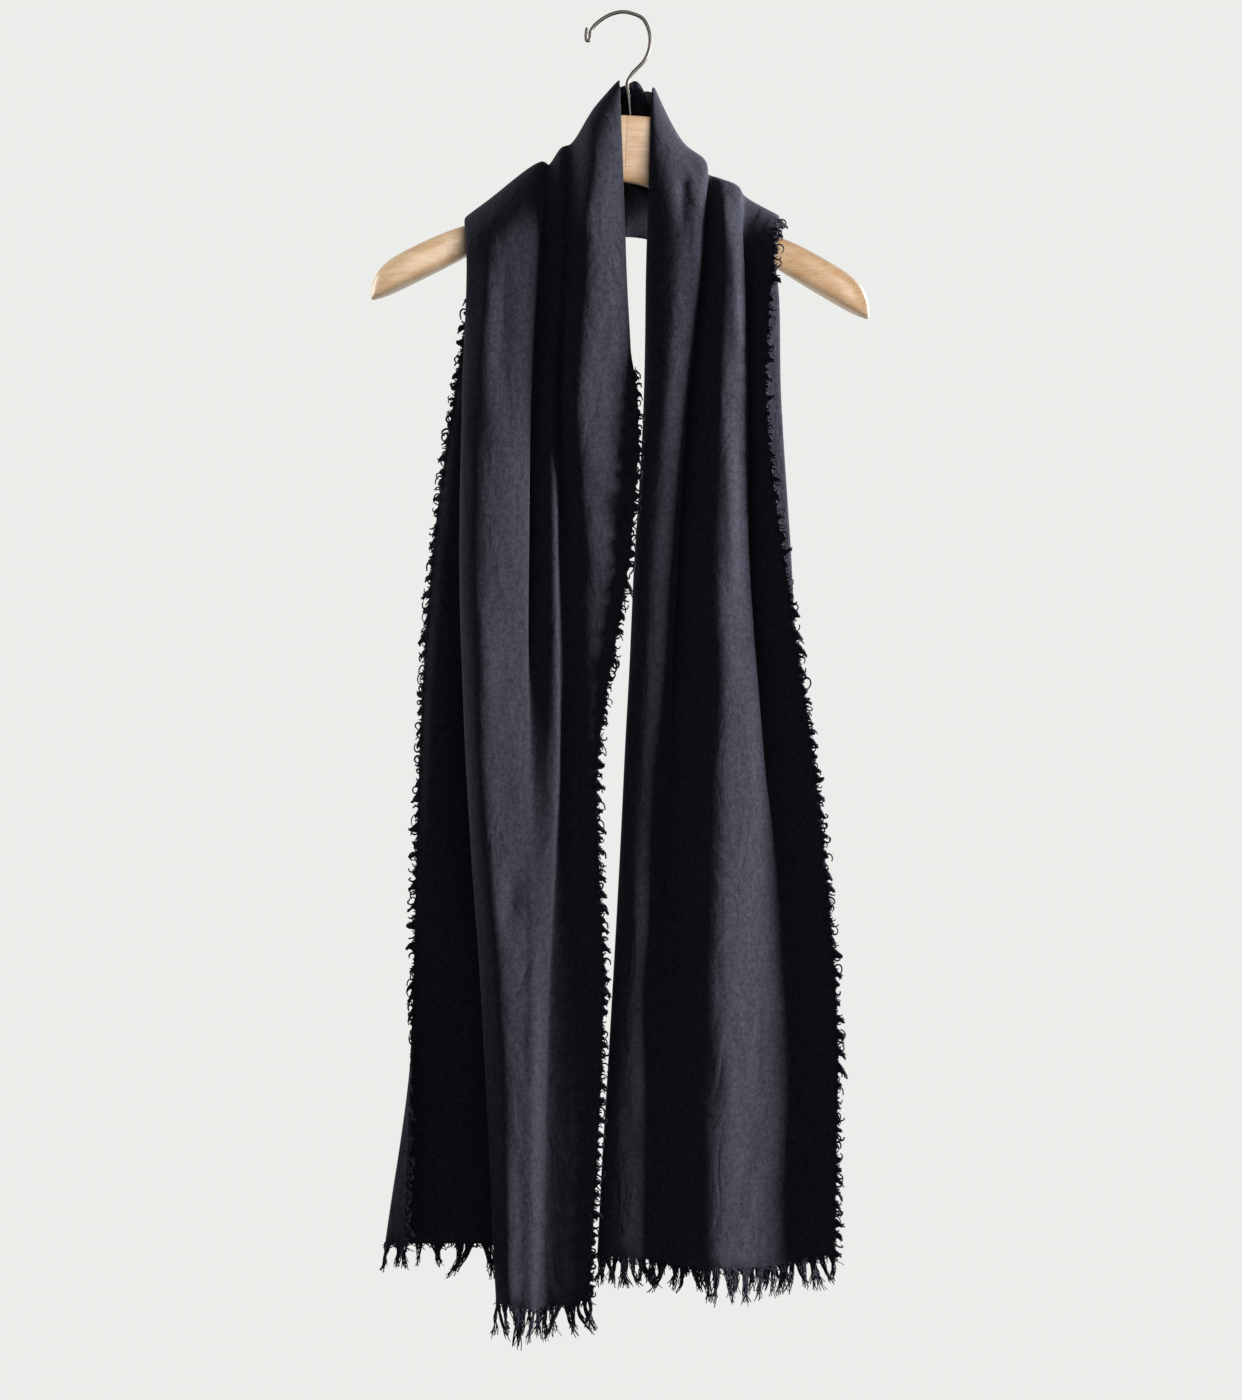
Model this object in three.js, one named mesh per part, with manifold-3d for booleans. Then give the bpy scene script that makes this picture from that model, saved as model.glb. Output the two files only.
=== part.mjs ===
// A fringed wool shawl that hangs round the neck of a wooden coat hanger.
// Millimetres, +Z up, +X to the right of the shawl's front, -Y towards its front.
// The origin is the inside top of the hanger's hook, where a rail carries it.
//
// The shawl is one length of cloth in three named stretches: the left fall, the wrap behind
// the hanger's neck and the right fall. Fifteen lines run along the cloth from hem to hem,
// from the outer selvedge to the inner one, and each line is a fold, a valley or a selvedge.
// A smooth curve through the fifteen lines is the cloth's section anywhere along its length.

import * as THREE from 'three';
import { mergeVertices } from 'three/addons/utils/BufferGeometryUtils.js';
import Module from 'manifold-3d';

const wasm = await Module();
wasm.setup();

// Driving sizes
const WALL = 1.2;               // thickness of the cloth
const SEAM_GAP = 0.3;           // between a cloth edge and its fringe
const STRETCH_GAP = 0.8;        // between two stretches of the cloth
const SPAN_STEPS = 3;           // facets between two fold lines
const TILT = THREE.MathUtils.degToRad(2.2);   // the hanger hangs a little lower at its right

const HANGER_TOP = { x: 4, y: 0, z: -81.5 };  // middle of the block's top face
const JOINT_GAP = 0.3;          // between the hanger's two glued halves
const ARM_SIDES = 16;           // facets round an arm

const WIRE_RADIUS = 1.5;
const WIRE_SIDES = 8;
const TIP_RADIUS = 1.3;         // folded end of the wire

const BACK_HEM_STRANDS = 14;    // on the left hem's back layer
const FRONT_HEM_STRANDS = 26;   // on the left hem's front folds
const RIGHT_HEM_STRANDS = 42;
const SELVEDGE_STRANDS = 20;    // on each frayed selvedge
const STRAND_RADIUS = 0.8;
const HEM_FRINGE = 24;          // mean length of a hem strand
const SELVEDGE_FRINGE = 6;      // mean length of a selvedge strand
const BACKING_DEPTH = 1.8;      // height of the strip that the strands grow from

const CLOTH = new THREE.MeshStandardMaterial({ color: 0x1b1c24, roughness: 0.95, metalness: 0 });
const YARN = new THREE.MeshStandardMaterial({ color: 0x16171e, roughness: 0.95, metalness: 0 });
const BEECH = new THREE.MeshStandardMaterial({ color: 0xe3b98c, roughness: 0.5, metalness: 0 });
const STEEL = new THREE.MeshStandardMaterial({ color: 0x6f6a66, roughness: 0.35, metalness: 1 });

// Heights of the falls' sections, below the arms, from the shoulder down
const FALL_HEIGHTS = [-209, -312, -438, -596, -786];

// Left fall: a row for each line, x and y at the five heights and then at the hem, and the
// hem's own height
const LEFT_FALL = [
  { fold: 'outer selvedge', x: [-116, -134, -151, -161, -166, -171], y: [-17, -16, -15, -15, -22, -38], hem: -978 },
  { fold: 'outer turn', x: [-104, -123, -139, -150, -161, -188], y: [-20, -21, -22, -21, -18, -25], hem: -980 },
  { fold: 'back layer', x: [-72, -84, -92, -101, -112, -130], y: [-17, -16, -16, -16, -17, -17], hem: -981 },
  { fold: 'hidden inner fold', x: [-30, -34, -36, -40, -40, -44], y: [-20, -21, -21, -21, -21, -21], hem: -982 },
  { fold: 'hidden outer fold', x: [-72, -74, -80, -90, -96, -88], y: [-24, -25, -26, -26, -26, -26], hem: -1000 },
  { fold: 'second hidden fold', x: [-38, -42, -44, -48, -48, -48], y: [-33, -32, -31, -31, -31, -31], hem: -1018 },
  { fold: 'outer front fold', x: [-123, -126, -128, -123, -111, -99], y: [-42, -44, -46, -46, -42, -40], hem: -1022 },
  { fold: 'broad ridge', x: [-104, -111, -114, -111, -96, -90], y: [-54, -58, -61, -62, -56, -52], hem: -1024 },
  { fold: 'first crest', x: [-68, -72, -74, -77, -77, -81], y: [-45, -46, -47, -50, -52, -50], hem: -1026 },
  { fold: 'first valley', x: [-66, -73, -76, -70, -69, -71], y: [-36, -37, -37, -47, -50, -48], hem: -1027 },
  { fold: 'second crest', x: [-49, -55, -53, -52, -60, -66], y: [-41, -44, -48, -48, -40, -40], hem: -1028 },
  { fold: 'second valley', x: [-43, -49, -49, -48, -57, -61], y: [-39, -37, -37, -36, -36, -36], hem: -1027 },
  { fold: 'neck panel', x: [-28, -36, -25, -33, -36, -44], y: [-56, -56, -46, -40, -38, -38], hem: -1026 },
  { fold: 'inner fold', x: [3, 7, 0, -24, -20, -31], y: [-42, -40, -41, -44, -42, -40], hem: -1022 },
  { fold: 'inner selvedge', x: [-6, 11.5, 5, -19, -15, -26], y: [-32, -43, -44.5, -46, -44, -42], hem: -1018 },
];

// Right fall, in the same order from the outer selvedge to the inner one
const RIGHT_FALL = [
  { fold: 'outer selvedge', x: [119, 113, 127, 150, 168, 167], y: [-44, -48, -50, -50, -48, -48], hem: -985 },
  { fold: 'edge trough', x: [93, 96, 96, 112, 141, 145], y: [-33, -33, -33, -34, -32, -32], hem: -990 },
  { fold: 'outer crest', x: [96, 99, 100, 111, 128, 125], y: [-40, -42, -43, -42, -36, -36], hem: -994 },
  { fold: 'broad ridge', x: [81, 77, 74, 74, 70, 68], y: [-50, -54, -58, -60, -60, -58], hem: -994 },
  { fold: 'middle valley', x: [62, 51, 43, 38, 36, 40], y: [-34, -34, -34, -34, -36, -38], hem: -994 },
  { fold: 'inner crest', x: [62, 51, 43, 35, 27, 24], y: [-42, -43, -42, -39, -37, -38], hem: -990 },
  { fold: 'inner ridge', x: [42, 34, 25, 17, 9, 5], y: [-50, -51, -49, -46, -44, -44], hem: -988 },
  { fold: 'inner fold', x: [19, 17, 10, 2, -8, -20], y: [-40, -40, -39, -38, -37, -37], hem: -986 },
  { fold: 'second layer, inside', x: [30, 28, 22, 16, 6, -6], y: [-28, -28, -28, -28, -28, -28], hem: -986 },
  { fold: 'second layer', x: [70, 66, 66, 66, 62, 54], y: [-26, -27, -27, -27, -27, -27], hem: -988 },
  { fold: 'second layer, outside', x: [101, 105, 111, 117, 121, 121], y: [-27, -28, -28, -28, -28, -28], hem: -990 },
  { fold: 'outer back fold', x: [122, 126, 134, 142, 150, 152], y: [-22, -24, -25, -25, -25, -25], hem: -990 },
  { fold: 'back layer, outside', x: [98, 102, 112, 124, 132, 134], y: [-18, -19, -20, -20, -20, -20], hem: -990 },
  { fold: 'back layer', x: [52, 50, 54, 66, 84, 92], y: [-18, -18, -18, -18, -18, -18], hem: -990 },
  { fold: 'inner selvedge', x: [32, 30, 33, 43, 60, 70], y: [-19, -19, -19, -19, -19, -19], hem: -990 },
];

// Where each line crosses the arm: on top of it, behind it, and behind the hanger's neck.
// Each entry is [x, y, z]. In front, the cloth bulges midway between the top and the fall,
// by a first amount and then more for the layers that hang further forward.
const FRONT_BULGE = 4.5;
const BULGE_BY_DEPTH = 0.25;
const LEFT_SHOULDER = [
  { fold: 'outer selvedge', top: [-104, 2, -157], back: [-98, 20, -176], neck: [-42, 24, -176] },
  { fold: 'outer turn', top: [-92, 2, -150.5], back: [-86, 20, -170], neck: [-36, 17, -168] },
  { fold: 'back layer', top: [-78, 3, -142.5], back: [-72, 20, -160], neck: [-30, 19, -152] },
  { fold: 'hidden inner fold', top: [-40, 3, -120], back: [-36, 19, -127], neck: [-24, 17, -134] },
  { fold: 'hidden outer fold', top: [-52, 0, -121], back: [-36, 24, -120], neck: [-20, 21, -112] },
  { fold: 'second hidden fold', top: [-72, -1, -133.5], back: [-62, 28, -146], neck: [-28, 29, -130] },
  { fold: 'outer front fold', top: [-124, -1, -164], back: [-100, 34, -184], neck: [-36, 36, -162] },
  { fold: 'broad ridge', top: [-104, -2, -148], back: [-84, 43, -168], neck: [-32, 46, -152] },
  { fold: 'first crest', top: [-64, -3, -119], back: [-52, 41, -139], neck: [-24, 42, -136] },
  { fold: 'first valley', top: [-59, -1, -122], back: [-48, 36, -130], neck: [-20, 48, -122] },
  { fold: 'second crest', top: [-48, -3, -108], back: [-38, 38, -118], neck: [-16, 40, -106] },
  { fold: 'second valley', top: [-41, -1, -106], back: [-34, 36, -106], neck: [-12, 42, -92] },
  { fold: 'neck panel', top: [-22, -3, -76], back: [-18, 36, -86], neck: [-6, 44, -67] },
  { fold: 'inner fold', top: [-2, 8, -52], back: [-2, 28, -53], neck: [3, 36, -51] },
  { fold: 'inner selvedge', top: [-8, 3, -65], back: [-3, 22, -66], neck: [6, 30, -50] },
];

const RIGHT_SHOULDER = [
  { fold: 'outer selvedge', top: [124, -2, -162], back: [106, 34, -174], neck: [52, 42, -182] },
  { fold: 'edge trough', top: [97, -1, -146], back: [84, 32, -165], neck: [46, 46, -170] },
  { fold: 'outer crest', top: [92, -3, -138], back: [78, 34, -156], neck: [42, 48, -158] },
  { fold: 'broad ridge', top: [78, -2, -132], back: [64, 36, -148], neck: [38, 40, -146] },
  { fold: 'middle valley', top: [68, 0, -128], back: [58, 28, -140], neck: [34, 38, -136] },
  { fold: 'inner crest', top: [66, -2, -118], back: [52, 34, -128], neck: [32, 46, -124] },
  { fold: 'inner ridge', top: [48, -2, -104], back: [40, 34, -112], neck: [26, 48, -104] },
  { fold: 'inner fold', top: [24, 6, -58], back: [26, 33, -56], neck: [19, 44, -53] },
  { fold: 'second layer, inside', top: [32, 11, -85], back: [30, 23, -84], neck: [20, 34, -82] },
  { fold: 'second layer', top: [56, 2, -130], back: [52, 20, -134], neck: [28, 27, -106] },
  { fold: 'second layer, outside', top: [84, 2, -148], back: [70, 22, -156], neck: [30, 31, -130] },
  { fold: 'outer back fold', top: [103, 2, -159], back: [86, 20, -172], neck: [36, 19, -140] },
  { fold: 'back layer, outside', top: [88, 3, -154.5], back: [74, 16, -168], neck: [28, 15, -116] },
  { fold: 'back layer', top: [64, 3, -139], back: [56, 13, -143], neck: [26, 15, -97] },
  { fold: 'inner selvedge', top: [42, 2, -119], back: [41, 16, -117], neck: [25, 23, -79] },
];

// The gathered section behind the hook's stem, y and z of each line
const NECK_X = 12;
const NECK_SECTION = [
  { fold: 'outer selvedge', y: 47, z: -172 },
  { fold: 'lowest roll', y: 40, z: -168 },
  { fold: 'lowest roll, inside', y: 32, z: -161 },
  { fold: 'inner hollow', y: 20, z: -151 },
  { fold: 'inner hollow, top', y: 17, z: -140 },
  { fold: 'middle roll, start', y: 38, z: -129 },
  { fold: 'middle roll', y: 62, z: -102 },
  { fold: 'middle roll, top', y: 55, z: -54 },
  { fold: 'upper hollow, start', y: 44, z: -82 },
  { fold: 'upper hollow', y: 36, z: -94 },
  { fold: 'upper hollow, inside', y: 27, z: -92 },
  { fold: 'upper roll, inside', y: 15, z: -79 },
  { fold: 'upper roll', y: 17, z: -66 },
  { fold: 'upper roll, top', y: 21, z: -57 },
  { fold: 'inner selvedge', y: 27, z: -50 },
];

// Half of the hanger in its own frame, from the joint in the middle to the tip of an arm:
// heights below the top of the block, half the thickness from front to back, and how round
// the upper edge is (0 square, 1 round)
const ARM_SECTIONS = [
  { at: 0, top: 0, bottom: -53.5, half: 7.5, rounding: 0.35 },
  { at: 12, top: -0.2, bottom: -55, half: 7.5, rounding: 0.35 },
  { at: 20.5, top: -0.8, bottom: -58, half: 7.2, rounding: 0.45 },
  { at: 22.5, top: -16, bottom: -59, half: 6.2, rounding: 0.7 },
  { at: 29, top: -38, bottom: -63, half: 5.8, rounding: 1 },
  { at: 38, top: -50, bottom: -70, half: 5.5, rounding: 1 },
  { at: 50, top: -57.5, bottom: -77, half: 5.8, rounding: 1 },
  { at: 62, top: -62.5, bottom: -83, half: 6.2, rounding: 1 },
  { at: 87, top: -76, bottom: -98, half: 6.5, rounding: 1 },
  { at: 112, top: -87, bottom: -111, half: 7.5, rounding: 1 },
  { at: 124, top: -92, bottom: -117.5, half: 9, rounding: 1 },
  { at: 139, top: -97, bottom: -126, half: 13, rounding: 0.9 },
  { at: 164, top: -109.8, bottom: -139.4, half: 17, rounding: 0.8 },
  { at: 180, top: -118.7, bottom: -147.8, half: 18, rounding: 0.8 },
  { at: 190, top: -126.5, bottom: -152.5, half: 16, rounding: 0.85 },
  { at: 196, top: -134, bottom: -154.5, half: 11, rounding: 0.9 },
  { at: 199.5, top: -146, bottom: -156, half: 5, rounding: 1 },
];

// The wire hook in its own frame: from its foot in the block, up its stem and round the hook
const HOOK_PATH = [
  [6.4, -81], [5.2, -68], [4, -56], [8, -48], [18, -37], [21.8, -27], [21.6, -15], [16.5, -4],
  [8, 0.2], [0, 1.5], [-9, -0.5], [-17, -5], [-22.4, -9.8], [-25.3, -14.5], [-25.9, -20],
];

// The wire's end is folded back up beside it: middle of the folded piece, length and lean
const TIP = { x: -28.9, z: -15.6, length: 8, lean: THREE.MathUtils.degToRad(6) };

// A smooth curve through points, with a number of steps to each span
function splinePoints(points, steps) {
  const curve = new THREE.CatmullRomCurve3(points, false, 'centripetal');
  const total = steps.reduce((sum, step) => sum + step, 0);
  const result = [];
  steps.forEach((count, span) => {
    for (let step = 0; step < count; step += 1) {
      result.push(curve.getPoint((span + step / count) / steps.length));
    }
  });
  result.push(points[points.length - 1].clone());
  return result.slice(0, total + 1);
}

// The fifteen points of every section along the shawl, from the left hem to the right hem
function fallStation(rows, column) {
  return rows.map((row) => new THREE.Vector3(
    row.x[column], row.y[column], FALL_HEIGHTS[column] ?? row.hem));
}

function shoulderStation(rows, place) {
  return rows.map((row) => new THREE.Vector3(...row[place]));
}

function frontStation(shoulderRows, fallRows) {
  const falls = fallStation(fallRows, 0);
  return shoulderStation(shoulderRows, 'top').map((top, line) => {
    const front = top.clone().lerp(falls[line], 0.5);
    front.y -= FRONT_BULGE + BULGE_BY_DEPTH * Math.abs(falls[line].y);
    return front;
  });
}

const hemColumn = FALL_HEIGHTS.length;
const fallColumns = [...FALL_HEIGHTS.keys(), hemColumn];
const stations = [
  ...fallColumns.toReversed().map((column) => fallStation(LEFT_FALL, column)),
  frontStation(LEFT_SHOULDER, LEFT_FALL),
  ...['top', 'back', 'neck'].map((place) => shoulderStation(LEFT_SHOULDER, place)),
  NECK_SECTION.map((row) => new THREE.Vector3(NECK_X, row.y, row.z)),
  ...['neck', 'back', 'top'].map((place) => shoulderStation(RIGHT_SHOULDER, place)),
  frontStation(RIGHT_SHOULDER, RIGHT_FALL),
  ...fallColumns.map((column) => fallStation(RIGHT_FALL, column)),
];

// Steps between stations: few on the long falls, more where the cloth bends over the arms
const FALL_STEPS = [2, 2, 2, 2, 2, 2];
const SHOULDER_STEPS = [3, 3];
const NECK_STEPS = [3, 3, 3, 3];
const lengthSteps = [
  ...FALL_STEPS, ...SHOULDER_STEPS, ...NECK_STEPS, ...SHOULDER_STEPS, ...FALL_STEPS];

// Points of a section, half a step to each side of every fold line, so that a fold has a
// narrow rounded back and the wall's two sides don't meet inside it
function sectionPoints(points) {
  const curve = new THREE.CatmullRomCurve3(points, false, 'centripetal');
  const steps = SPAN_STEPS * (points.length - 1);
  const result = [points[0].clone()];
  for (let step = 0; step < steps; step += 1) result.push(curve.getPoint((step + 0.5) / steps));
  result.push(points[points.length - 1].clone());
  return result;
}

// Grid of the cloth's middle surface: a row for each section, a column for each facet line
const lineCount = stations[0].length;
const linesAlong = [...Array(lineCount).keys()].map(
  (line) => splinePoints(stations.map((station) => station[line]), lengthSteps));
const grid = linesAlong[0].map((_, row) => sectionPoints(linesAlong.map((line) => line[row])));

// Wool can't turn on a knife edge, so a little averaging across rounds the back of each fold
const ROUNDS_OF_AVERAGING = 2;
for (let round = 0; round < ROUNDS_OF_AVERAGING; round += 1) {
  for (const row of grid) {
    const before = row.map((point) => point.clone());
    for (let column = 1; column < row.length - 1; column += 1) {
      row[column].multiplyScalar(0.5)
        .addScaledVector(before[column - 1], 0.25)
        .addScaledVector(before[column + 1], 0.25);
    }
  }
}

// Unit normal of the grid at a row and column: the mean of the facets that meet there
function gridNormal(row, column) {
  const normal = new THREE.Vector3();
  for (const facetRow of [row - 1, row]) {
    for (const facetColumn of [column - 1, column]) {
      const upper = grid[facetRow];
      const lower = grid[facetRow + 1];
      if (upper?.[facetColumn] && lower?.[facetColumn + 1]) {
        const falling = lower[facetColumn + 1].clone().sub(upper[facetColumn]);
        const rising = upper[facetColumn + 1].clone().sub(lower[facetColumn]);
        normal.add(falling.cross(rising).normalize());
      }
    }
  }
  return normal.normalize();
}

// A closed geometry with its faces turned outwards, whichever way it was wound
function facingOut(positions, faces) {
  let volume = 0;
  const corner = (index) => new THREE.Vector3().fromArray(positions, index * 3);
  for (let face = 0; face < faces.length; face += 3) {
    const [a, b, c] = [faces[face], faces[face + 1], faces[face + 2]].map(corner);
    volume += a.dot(b.cross(c)) / 6;
  }
  const geometry = new THREE.BufferGeometry();
  geometry.setAttribute('position', new THREE.Float32BufferAttribute(positions, 3));
  geometry.setIndex(volume < 0 ? faces.toReversed() : faces);
  return geometry;
}

// A closed geometry from rings of points, each joined to the next, with its two ends filled
function ringSolid(rings) {
  const sides = rings[0].length;
  const positions = rings.flat().flatMap((point) => [point.x, point.y, point.z]);
  const faces = [];
  for (let ring = 0; ring < rings.length - 1; ring += 1) {
    for (let side = 0; side < sides; side += 1) {
      const a = ring * sides + side;
      const b = ring * sides + (side + 1) % sides;
      faces.push(a, b, b + sides, a, b + sides, a + sides);
    }
  }
  const last = (rings.length - 1) * sides;
  for (let side = 1; side < sides - 1; side += 1) {
    faces.push(0, side + 1, side);
    faces.push(last, last + side, last + side + 1);
  }
  return facingOut(positions, faces);
}

// A cloth wall over a stretch of the grid, pulled in at its cut ends by half their gap
function clothWall(firstRow, lastRow) {
  const rows = [];
  for (let row = firstRow; row <= lastRow; row += 1) {
    rows.push(grid[row].map((point, column) => {
      const middle = point.clone();
      const inward = row === firstRow && row > 0 ? 1 : row === lastRow && row < grid.length - 1 ? -1 : 0;
      if (inward) {
        const along = grid[row + inward][column].clone().sub(point).normalize();
        const beside = (step) => grid[row][THREE.MathUtils.clamp(column + step, 0, grid[row].length - 1)];
        const across = beside(1).clone().sub(beside(-1)).normalize();
        const slant = new THREE.Vector3().crossVectors(along, across).length();
        middle.addScaledVector(along, STRETCH_GAP / 2 / Math.max(slant, 0.12));
      }
      return { middle, normal: gridNormal(row, column) };
    }));
  }
  const columns = rows[0].length;
  const positions = [];
  for (const side of [0.5, -0.5]) {
    for (const row of rows) {
      for (const { middle, normal } of row) {
        positions.push(...middle.clone().addScaledVector(normal, side * WALL).toArray());
      }
    }
  }
  const sheet = rows.length * columns;
  const faces = [];
  const quad = (a, b, c, d) => faces.push(a, b, c, a, c, d);
  for (let row = 0; row < rows.length - 1; row += 1) {
    for (let column = 0; column < columns - 1; column += 1) {
      const a = row * columns + column;
      quad(a, a + columns, a + columns + 1, a + 1);
      quad(sheet + a, sheet + a + 1, sheet + a + columns + 1, sheet + a + columns);
    }
  }
  const lastRowStart = (rows.length - 1) * columns;
  for (let column = 0; column < columns - 1; column += 1) {
    quad(column, column + 1, sheet + column + 1, sheet + column);
    const a = lastRowStart + column;
    quad(a + 1, a, sheet + a, sheet + a + 1);
  }
  for (let row = 0; row < rows.length - 1; row += 1) {
    const a = row * columns;
    quad(a + columns, a, sheet + a, sheet + a + columns);
    const b = a + columns - 1;
    quad(b, b + columns, sheet + b + columns, sheet + b);
  }
  return facingOut(positions, faces);
}

// Union of closed geometries by exact booleans
function toSolid(geometry) {
  const bare = geometry.clone();
  bare.deleteAttribute('normal');
  bare.deleteAttribute('uv');
  const merged = mergeVertices(bare);
  return new wasm.Manifold(new wasm.Mesh({
    numProp: 3,
    vertProperties: new Float32Array(merged.attributes.position.array),
    triVerts: new Uint32Array(merged.index.array),
  }));
}

function fromSolid(solid) {
  const mesh = solid.getMesh();
  const geometry = new THREE.BufferGeometry();
  geometry.setAttribute('position', new THREE.Float32BufferAttribute(mesh.vertProperties, 3));
  geometry.setIndex([...mesh.triVerts]);
  return geometry;
}

function union(geometries) {
  return fromSolid(geometries.map(toSolid).reduce((whole, next) => whole.add(next)));
}

// The strip that fringe grows from: a thin bar along an edge of the cloth, parted from it
function backing(edge) {
  return ringSolid(edge.map(({ point, outward, normal }) => {
    const corner = (out, side) => point.clone()
      .addScaledVector(outward, SEAM_GAP + out * BACKING_DEPTH)
      .addScaledVector(normal, side * WALL / 2);
    return [corner(0, -1), corner(1, -1), corner(1, 1), corner(0, 1)];
  }));
}

// One loose strand: a three-sided taper that curls over as it leaves the strip
function strand({ point, outward, normal, along }, length, lean) {
  const root = point.clone().addScaledVector(outward, SEAM_GAP + BACKING_DEPTH * 0.4);
  const middle = root.clone()
    .addScaledVector(outward, length * 0.55)
    .addScaledVector(along, lean * length * 0.2)
    .addScaledVector(normal, lean * length * 0.08);
  const tip = root.clone()
    .addScaledVector(outward, length)
    .addScaledVector(along, lean * length * 0.5);
  const ring = (centre, radius) => [0, 1, 2].map((corner) => {
    const angle = corner * 2 * Math.PI / 3;
    return centre.clone()
      .addScaledVector(along, radius * Math.cos(angle))
      .addScaledVector(normal, radius * 0.6 * Math.sin(angle));
  });
  return ringSolid([ring(root, STRAND_RADIUS), ring(middle, STRAND_RADIUS * 0.9), ring(tip, STRAND_RADIUS * 0.25)]);
}

// An edge of the grid as points with their outward, normal and along directions
function hemEdge(row, inner, firstColumn, lastColumn) {
  const edge = [];
  for (let column = firstColumn; column <= lastColumn; column += 1) {
    const point = grid[row][column];
    const outward = point.clone().sub(grid[inner][column]).normalize();
    const normal = gridNormal(row, column);
    edge.push({ point, outward, normal, along: new THREE.Vector3().crossVectors(normal, outward) });
  }
  return edge;
}

function selvedgeEdge(column, inner, firstRow, lastRow) {
  const edge = [];
  for (let row = firstRow; row <= lastRow; row += 1) {
    const point = grid[row][column];
    const normal = gridNormal(row, column);
    const outward = point.clone().sub(grid[row][inner]);
    outward.addScaledVector(normal, -outward.dot(normal)).normalize();
    edge.push({ point, outward, normal, along: new THREE.Vector3().crossVectors(normal, outward) });
  }
  return edge;
}

// The place on an edge at a fraction of its length
function placeOn(edge, fraction) {
  const lengths = [0];
  for (let i = 1; i < edge.length; i += 1) {
    lengths.push(lengths[i - 1] + edge[i].point.distanceTo(edge[i - 1].point));
  }
  const wanted = fraction * lengths[lengths.length - 1];
  let span = 0;
  while (span < edge.length - 2 && lengths[span + 1] < wanted) span += 1;
  const share = (wanted - lengths[span]) / (lengths[span + 1] - lengths[span]);
  const mix = (name) => edge[span][name].clone().lerp(edge[span + 1][name], share);
  return {
    point: mix('point'),
    outward: mix('outward').normalize(),
    normal: mix('normal').normalize(),
    along: mix('along').normalize(),
  };
}

// Fringe along an edge, its strands uneven in length and lean but the same on each run
function fringe(edge, count, meanLength) {
  const strands = [];
  for (let i = 0; i < count; i += 1) {
    const wave = Math.sin(i * 2.399);
    const sway = Math.sin(i * 1.171 + 0.7);
    strands.push(strand(placeOn(edge, (i + 0.5) / count), meanLength * (1 + 0.3 * wave), 0.55 * sway));
  }
  return union([backing(edge), ...strands]);
}

// Half of the hanger: rounded above, flatter below, from the joint to the tip of the arm
function hangerHalf(direction) {
  const bend = (value, power) => Math.sign(value) * Math.abs(value) ** power;
  return ringSolid(ARM_SECTIONS.map(({ at, top, bottom, half, rounding }) => {
    const middle = (top + bottom) / 2;
    const ring = [];
    for (let side = 0; side < ARM_SIDES; side += 1) {
      const angle = side * 2 * Math.PI / ARM_SIDES;
      const power = Math.sin(angle) > 0 ? rounding : 0.5;
      ring.push(new THREE.Vector3(
        direction * (at + JOINT_GAP / 2),
        half * bend(Math.cos(angle), power),
        middle + (top - middle) * bend(Math.sin(angle), power)));
    }
    return ring;
  }));
}

// A wire along a path in the hanger's plane
function wire(path, radius, sides, steps) {
  const curve = new THREE.CatmullRomCurve3(path.map(([x, z]) => new THREE.Vector3(x, 0, z)), false, 'centripetal');
  const profile = new THREE.Shape([...Array(sides).keys()].map((side) => {
    const angle = side * 2 * Math.PI / sides;
    return new THREE.Vector2(radius * Math.cos(angle), radius * Math.sin(angle));
  }));
  return new THREE.ExtrudeGeometry(profile, { steps, bevelEnabled: false, extrudePath: curve });
}

const group = new THREE.Group();

function add(name, geometry, material, parent = group) {
  const mesh = new THREE.Mesh(geometry, material);
  mesh.name = name;
  parent.add(mesh);
  return mesh;
}

// Row numbers of the cuts between the stretches, just behind the top of each arm
const rowsTo = (stationCount) => lengthSteps.slice(0, stationCount).reduce((sum, step) => sum + step, 0);
const leftCut = rowsTo(FALL_STEPS.length + 1) + 1;
const rightCut = grid.length - 1 - leftCut;
const lastRow = grid.length - 1;
const lastColumn = grid[0].length - 1;
const frayTop = rowsTo(FALL_STEPS.length - 1);
const innerFrayTop = frayTop - FALL_STEPS[0];

// The left hem's hidden folds, between these columns, are bare
const BACK_HEM_END = 3 * SPAN_STEPS - 1;
const FRONT_HEM_START = 5 * SPAN_STEPS + 1;

add('shawl_left_fall', clothWall(0, leftCut), CLOTH);
add('shawl_neck_wrap', clothWall(leftCut, rightCut), CLOTH);
add('shawl_right_fall', clothWall(rightCut, lastRow), CLOTH);

add('fringe_left_back_hem', fringe(hemEdge(0, 1, 0, BACK_HEM_END), BACK_HEM_STRANDS, HEM_FRINGE), YARN);
add('fringe_left_front_hem', fringe(hemEdge(0, 1, FRONT_HEM_START, lastColumn), FRONT_HEM_STRANDS, HEM_FRINGE), YARN);
add('fringe_right_hem', fringe(hemEdge(lastRow, lastRow - 1, 0, lastColumn), RIGHT_HEM_STRANDS, HEM_FRINGE), YARN);
add('fray_left_outer', fringe(selvedgeEdge(0, 1, 2, frayTop), SELVEDGE_STRANDS, SELVEDGE_FRINGE), YARN);
add('fray_left_inner', fringe(selvedgeEdge(lastColumn, lastColumn - 1, 1, innerFrayTop), SELVEDGE_STRANDS, SELVEDGE_FRINGE), YARN);
add('fray_right_outer', fringe(selvedgeEdge(0, 1, lastRow - frayTop - 2, lastRow - 1), SELVEDGE_STRANDS, SELVEDGE_FRINGE), YARN);
add('fray_right_inner', fringe(selvedgeEdge(lastColumn, lastColumn - 1, lastRow - frayTop, lastRow - 1), SELVEDGE_STRANDS, SELVEDGE_FRINGE), YARN);

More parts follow.
